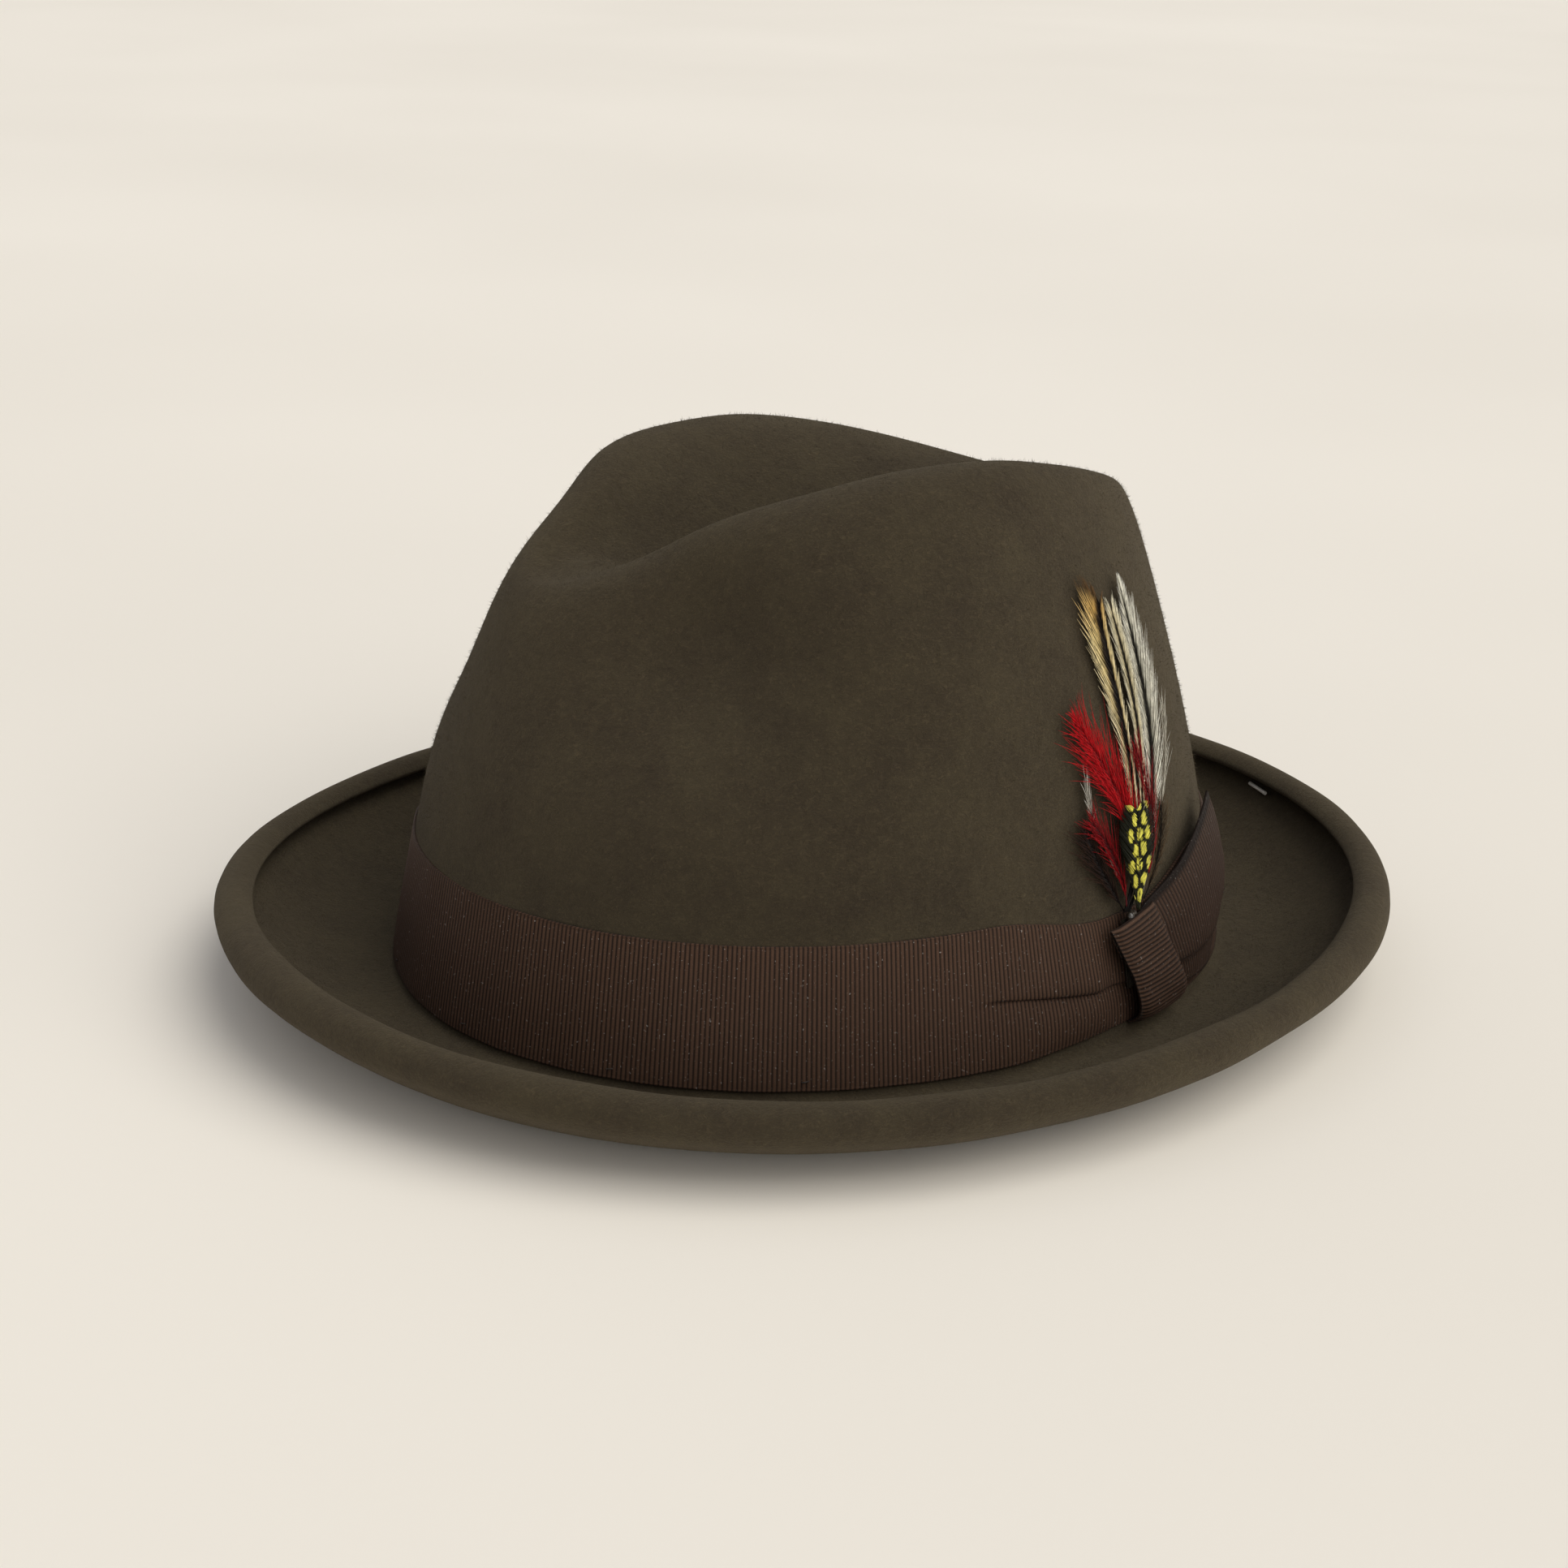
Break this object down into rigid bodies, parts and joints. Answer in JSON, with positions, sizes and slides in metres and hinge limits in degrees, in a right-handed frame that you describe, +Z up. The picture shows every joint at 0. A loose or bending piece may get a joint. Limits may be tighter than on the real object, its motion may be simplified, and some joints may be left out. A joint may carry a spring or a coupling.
{
  "type": "fedora hat",
  "caption": "Brushed felt fedora with a creased and pinched crown, a rolled-edge brim, a wide grosgrain band with a side bow, and a small feather trim tucked behind the bow.",
  "frame": {"origin": "middle of the hat's bounding box in X and Y, on the surface that the brim rests on", "axes": "+Z up, the front of the hat faces -Y, the wearer's left side, with the bow and feathers, is +X"},
  "size_m": [0.2546, 0.2908, 0.1294],
  "materials": {
    "felt": "brushed wool felt, short nap",
    "ribbon": "corded grosgrain ribbon",
    "band_thread": "cotton thread",
    "sweatband_leather": "soft sheepskin, matt",
    "reed": "extruded, matt",
    "sweatband_thread": "cotton thread",
    "seam_tape": "woven tape",
    "lining_satin": "satin",
    "paper_tab": "uncoated paper",
    "clear_nylon": "moulded",
    "backing_felt": "felt",
    "quill_glue": "bound with dark thread and glue",
    "hackle_gold": "feather barbs, silky",
    "hackle_silver": "feather barbs, silky",
    "hackle_cream": "feather barbs, silky",
    "barb_wisps": "loose feather barbs",
    "hackle_red": "feather barbs, silky",
    "dotted_feather": "feather barbs with pale spots",
    "brown_feather": "soft feather barbs",
    "grey_feather": "soft feather barbs"
  },
  "bodies": {
    "root": {"felt_body": "felt", "hat_band": "ribbon", "bow_knot": "ribbon", "bow_tail": "ribbon", "bow_lining": "ribbon", "band_tacks": "band_thread", "sweatband": "sweatband_leather", "sweatband_reed": "reed", "sweatband_stitching": "sweatband_thread", "sweatband_seam_tape": "seam_tape", "sweatband_bow": "ribbon", "lining_side": "lining_satin", "lining_tip": "lining_satin", "size_tab": "paper_tab", "tag_fastener": "clear_nylon"},
    "feather_trim": {"feather_backing": "backing_felt", "quill_binding": "quill_glue", "feather_gold": "hackle_gold", "feather_silver": "hackle_silver", "feather_cream": "hackle_cream", "feather_wisps": "barb_wisps", "feather_red_upper": "hackle_red", "feather_red_lower": "hackle_red", "feather_dotted": "dotted_feather", "feather_brown_left": "brown_feather", "feather_brown_right": "brown_feather", "feather_grey": "grey_feather"}
  },
  "joints": [
    {"name": "feather_pull", "type": "slide", "parent": "root", "child": "feather_trim", "axis": [-0.0912, -0.2768, 0.9566], "range_m": [0, 0.04]}
  ]
}
